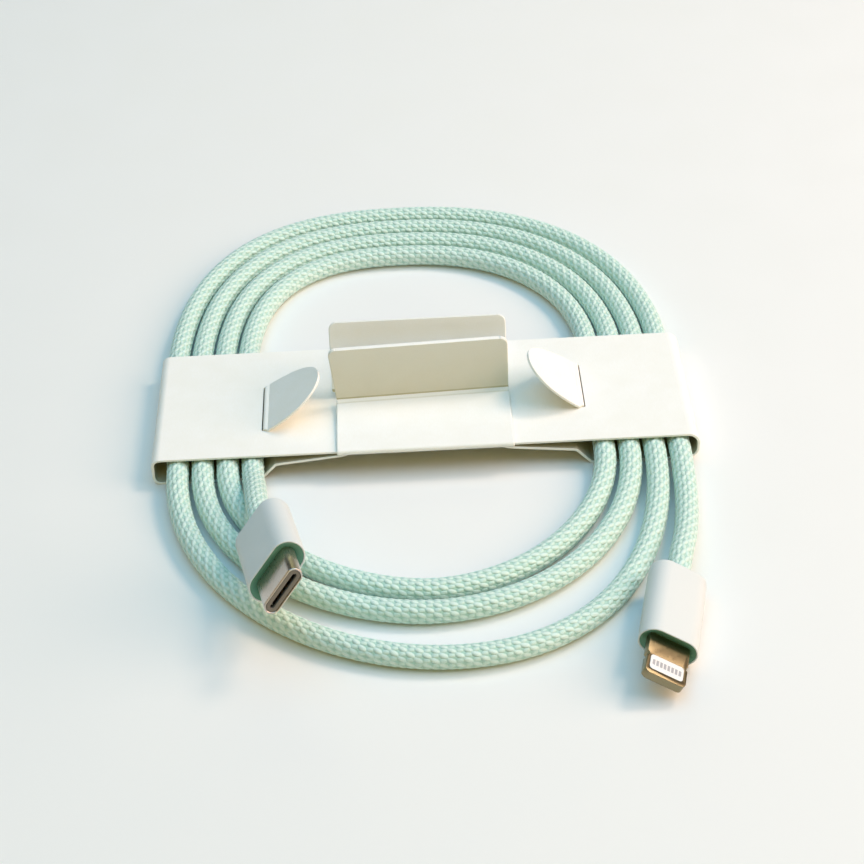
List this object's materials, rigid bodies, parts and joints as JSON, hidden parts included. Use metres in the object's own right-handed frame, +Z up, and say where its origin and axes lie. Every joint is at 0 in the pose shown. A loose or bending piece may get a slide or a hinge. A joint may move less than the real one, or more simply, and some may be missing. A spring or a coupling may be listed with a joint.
{
  "type": "charging cable",
  "caption": "Braided charging cable with an oval plug and a flat blade plug, wound in a flat coil and held by a folded white card band with fins and tongues.",
  "frame": {"origin": "on the table under the middle of the card band", "axes": "+X along the band to the right, +Y towards the back of the coil, +Z up"},
  "size_m": [0.0934, 0.1378, 0.0185],
  "materials": {
    "white_card": "uncoated white card, matte",
    "mint_braid": "woven mint yarn",
    "white_shell": "smooth moulded, softly glossy",
    "green_face": "moulded, matte",
    "satin_nickel": "satin plated",
    "black_insulator": "moulded, matte",
    "white_insulator": "moulded, matte",
    "gold_contact": "plated",
    "grey_contact": "plated",
    "green_board": "lacquered board",
    "copper": "bare",
    "red_wire": "insulated wire",
    "black_wire": "insulated wire",
    "green_wire": "insulated wire",
    "white_wire": "insulated wire"
  },
  "bodies": {
    "band": {"card_band": "white_card", "cable_coil": "mint_braid", "oval_lead": "mint_braid", "blade_lead": "mint_braid", "oval_housing": "white_shell", "oval_front_face": "green_face", "oval_metal_shell": "satin_nickel", "oval_insulator": "black_insulator", "oval_upper_contact_1": "gold_contact", "oval_upper_contact_2": "gold_contact", "oval_upper_contact_3": "gold_contact", "oval_upper_contact_4": "gold_contact", "oval_lower_contact_1": "gold_contact", "oval_lower_contact_2": "gold_contact", "oval_lower_contact_3": "gold_contact", "oval_lower_contact_4": "gold_contact", "oval_latch_left": "grey_contact", "oval_latch_right": "grey_contact", "oval_board": "green_board", "oval_crimp_sleeve": "copper", "oval_strain_bush": "white_shell", "oval_wire_1": "red_wire", "oval_wire_2": "black_wire", "oval_wire_3": "green_wire", "oval_wire_4": "white_wire", "blade_housing": "white_shell", "blade_front_face": "green_face", "blade_frame": "satin_nickel", "blade_insulator": "white_insulator", "blade_upper_contact_1": "grey_contact", "blade_upper_contact_2": "grey_contact", "blade_upper_contact_3": "grey_contact", "blade_upper_contact_4": "grey_contact", "blade_upper_contact_5": "grey_contact", "blade_upper_contact_6": "grey_contact", "blade_upper_contact_7": "grey_contact", "blade_upper_contact_8": "grey_contact", "blade_lower_contact_1": "grey_contact", "blade_lower_contact_2": "grey_contact", "blade_lower_contact_3": "grey_contact", "blade_lower_contact_4": "grey_contact", "blade_lower_contact_5": "grey_contact", "blade_lower_contact_6": "grey_contact", "blade_lower_contact_7": "grey_contact", "blade_lower_contact_8": "grey_contact", "blade_board": "green_board", "blade_chip": "black_insulator", "blade_crimp_sleeve": "copper", "blade_strain_bush": "white_shell", "blade_wire_1": "red_wire", "blade_wire_2": "black_wire", "blade_wire_3": "green_wire", "blade_wire_4": "white_wire"},
    "front_flap": {"front_flap": "white_card"},
    "front_fin": {"front_fin": "white_card"},
    "rear_flap": {"rear_flap": "white_card"},
    "rear_fin": {"rear_fin": "white_card"},
    "left_tongue": {"left_tongue": "white_card"},
    "right_tongue": {"right_tongue": "white_card"}
  },
  "joints": [
    {"name": "front_flap_fold", "type": "hinge", "parent": "band", "child": "front_flap", "pos_m": [0, -0.01553, 0.0039], "axis": [1, 0, 0], "range_deg": [0, 100]},
    {"name": "front_fin_crease", "type": "hinge", "parent": "front_flap", "child": "front_fin", "pos_m": [0, -0.0006, 0.00625], "axis": [1, 0, 0], "range_deg": [-4, 80]},
    {"name": "rear_flap_fold", "type": "hinge", "parent": "band", "child": "rear_flap", "pos_m": [0, 0.01553, 0.0039], "axis": [-1, 0, 0], "range_deg": [0, 100]},
    {"name": "rear_fin_crease", "type": "hinge", "parent": "rear_flap", "child": "rear_fin", "pos_m": [-0.00075, 0.0006, 0.00625], "axis": [-1, 0, 0], "range_deg": [-6, 60]},
    {"name": "left_tongue_hinge", "type": "hinge", "parent": "band", "child": "left_tongue", "pos_m": [-0.02683, -0.002, 0.0057], "axis": [0, -1, 0], "range_deg": [-38, 50]},
    {"name": "right_tongue_hinge", "type": "hinge", "parent": "band", "child": "right_tongue", "pos_m": [0.02683, 0.0002, 0.0057], "axis": [0, 1, 0], "range_deg": [-43, 45]}
  ]
}
